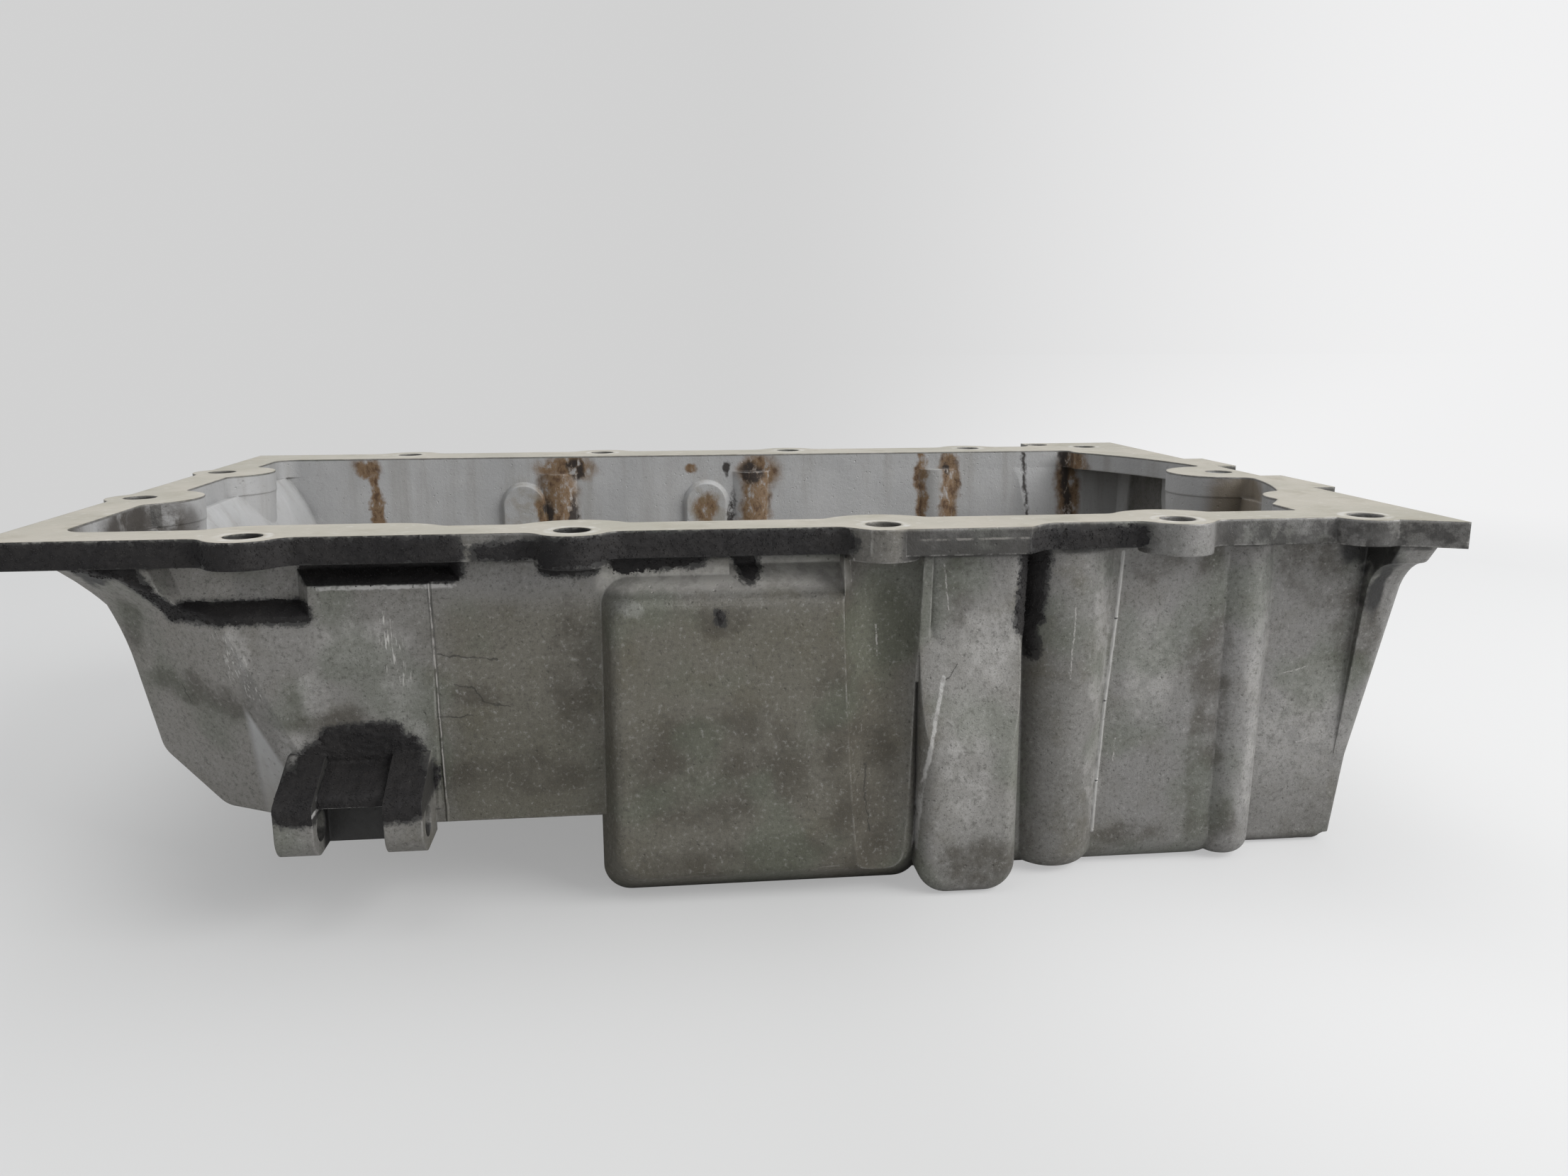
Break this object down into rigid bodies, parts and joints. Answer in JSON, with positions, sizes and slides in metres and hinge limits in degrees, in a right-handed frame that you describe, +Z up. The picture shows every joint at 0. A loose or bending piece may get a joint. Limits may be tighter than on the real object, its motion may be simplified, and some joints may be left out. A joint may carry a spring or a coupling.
{
  "type": "engine oil pan",
  "caption": "Cast aluminium engine oil pan with a bolt flange, a shallow front, a deep sump, a clevis bracket and a drain plug",
  "frame": {"origin": "centre of the corner bolt rectangle, on the gasket face of the flange", "axes": "+X along the crankshaft towards the gearbox, +Y from the clevis side to the far side, +Z up out of the gasket face"},
  "size_m": [0.406, 0.265, 0.1075],
  "materials": {
    "casting": "rough cast, oily",
    "plug": "zinc plated steel, worn",
    "washer": "satin"
  },
  "bodies": {
    "root": {"oil_pan": "casting", "drain_plug": "plug", "drain_plug_washer": "washer"}
  },
  "joints": []
}
